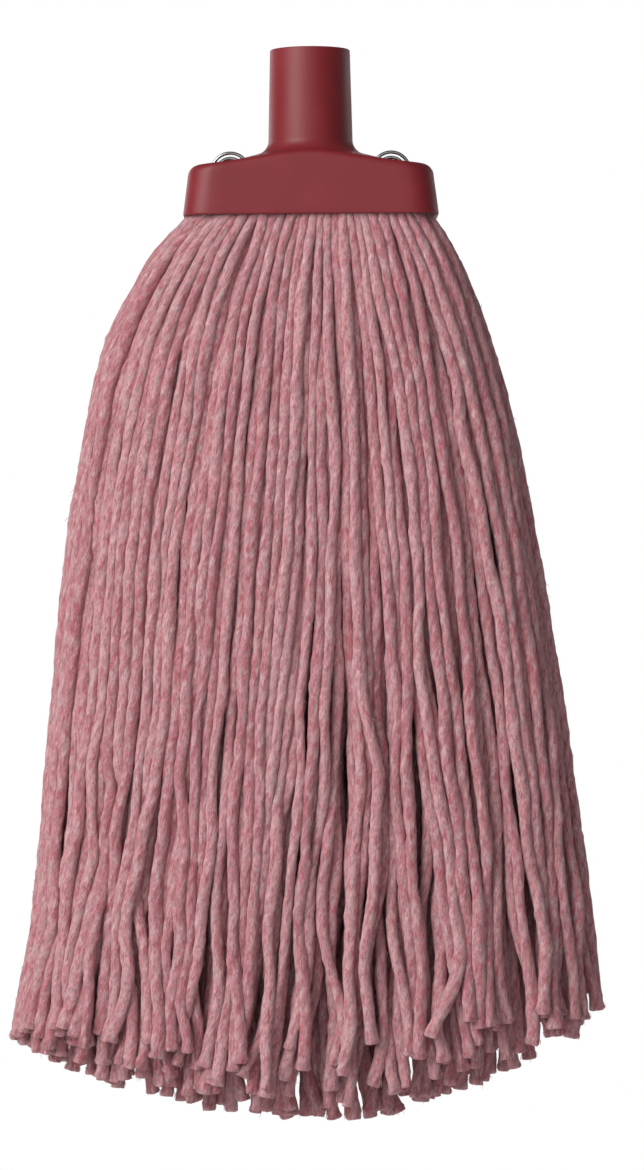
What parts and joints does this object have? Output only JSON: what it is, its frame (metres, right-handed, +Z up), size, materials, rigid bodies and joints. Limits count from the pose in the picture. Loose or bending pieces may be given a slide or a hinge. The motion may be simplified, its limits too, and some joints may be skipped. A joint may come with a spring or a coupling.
{
  "type": "string mop head",
  "caption": "String mop head: a moulded socket for a push-fit handle, a hood lashed with wire, and thick soft yarn that hangs from it in locks.",
  "frame": {"origin": "centre of the flat seat at the bottom of the handle socket, where the handle's end rests", "axes": "+Z up out of the handle socket along the handle, +X along the hood's long side to the right, -Y the front"},
  "size_m": [0.2184, 0.068, 0.3959],
  "materials": {
    "housing_plastic": "satin moulded",
    "galvanised_wire": "drawn, galvanised",
    "mop_yarn": "soft loosely twisted yarn, mottled"
  },
  "bodies": {
    "head": {"socket_housing": "housing_plastic", "retaining_wire": "galvanised_wire", "yarn_fold_left": "mop_yarn", "yarn_fold_middle": "mop_yarn", "yarn_fold_right": "mop_yarn", "core_lock_1": "mop_yarn", "core_lock_2": "mop_yarn", "core_lock_3": "mop_yarn", "core_lock_4": "mop_yarn"},
    "front_far_left": {"front_lock_far_left": "mop_yarn"},
    "front_left": {"front_lock_left": "mop_yarn"},
    "front_middle": {"front_lock_middle": "mop_yarn"},
    "front_right": {"front_lock_right": "mop_yarn"},
    "front_far_right": {"front_lock_far_right": "mop_yarn"},
    "back_far_left": {"back_lock_far_left": "mop_yarn"},
    "back_left": {"back_lock_left": "mop_yarn"},
    "back_middle": {"back_lock_middle": "mop_yarn"},
    "back_right": {"back_lock_right": "mop_yarn"},
    "back_far_right": {"back_lock_far_right": "mop_yarn"},
    "end_left": {"end_lock_left": "mop_yarn"},
    "end_right": {"end_lock_right": "mop_yarn"}
  },
  "joints": [
    {"name": "front_far_left_swing", "type": "hinge", "parent": "head", "child": "front_far_left", "pos_m": [0, -0.0134, -0.0285], "axis": [-1, 0, 0], "range_deg": [0, 50]},
    {"name": "front_left_swing", "type": "hinge", "parent": "head", "child": "front_left", "pos_m": [0, -0.0134, -0.0285], "axis": [-1, 0, 0], "range_deg": [0, 50]},
    {"name": "front_middle_swing", "type": "hinge", "parent": "head", "child": "front_middle", "pos_m": [0, -0.0134, -0.0285], "axis": [-1, 0, 0], "range_deg": [0, 50]},
    {"name": "front_right_swing", "type": "hinge", "parent": "head", "child": "front_right", "pos_m": [0, -0.0134, -0.0285], "axis": [-1, 0, 0], "range_deg": [0, 50]},
    {"name": "front_far_right_swing", "type": "hinge", "parent": "head", "child": "front_far_right", "pos_m": [0, -0.0134, -0.0285], "axis": [-1, 0, 0], "range_deg": [0, 50]},
    {"name": "back_far_left_swing", "type": "hinge", "parent": "head", "child": "back_far_left", "pos_m": [0, 0.0134, -0.0285], "axis": [1, 0, 0], "range_deg": [0, 50]},
    {"name": "back_left_swing", "type": "hinge", "parent": "head", "child": "back_left", "pos_m": [0, 0.0134, -0.0285], "axis": [1, 0, 0], "range_deg": [0, 50]},
    {"name": "back_middle_swing", "type": "hinge", "parent": "head", "child": "back_middle", "pos_m": [0, 0.0134, -0.0285], "axis": [1, 0, 0], "range_deg": [0, 50]},
    {"name": "back_right_swing", "type": "hinge", "parent": "head", "child": "back_right", "pos_m": [0, 0.0134, -0.0285], "axis": [1, 0, 0], "range_deg": [0, 50]},
    {"name": "back_far_right_swing", "type": "hinge", "parent": "head", "child": "back_far_right", "pos_m": [0, 0.0134, -0.0285], "axis": [1, 0, 0], "range_deg": [0, 50]},
    {"name": "end_left_swing", "type": "hinge", "parent": "head", "child": "end_left", "pos_m": [-0.0395, 0, -0.0294], "axis": [0, 1, 0], "range_deg": [0, 35]},
    {"name": "end_right_swing", "type": "hinge", "parent": "head", "child": "end_right", "pos_m": [0.0395, 0, -0.0294], "axis": [0, -1, 0], "range_deg": [0, 35]}
  ]
}
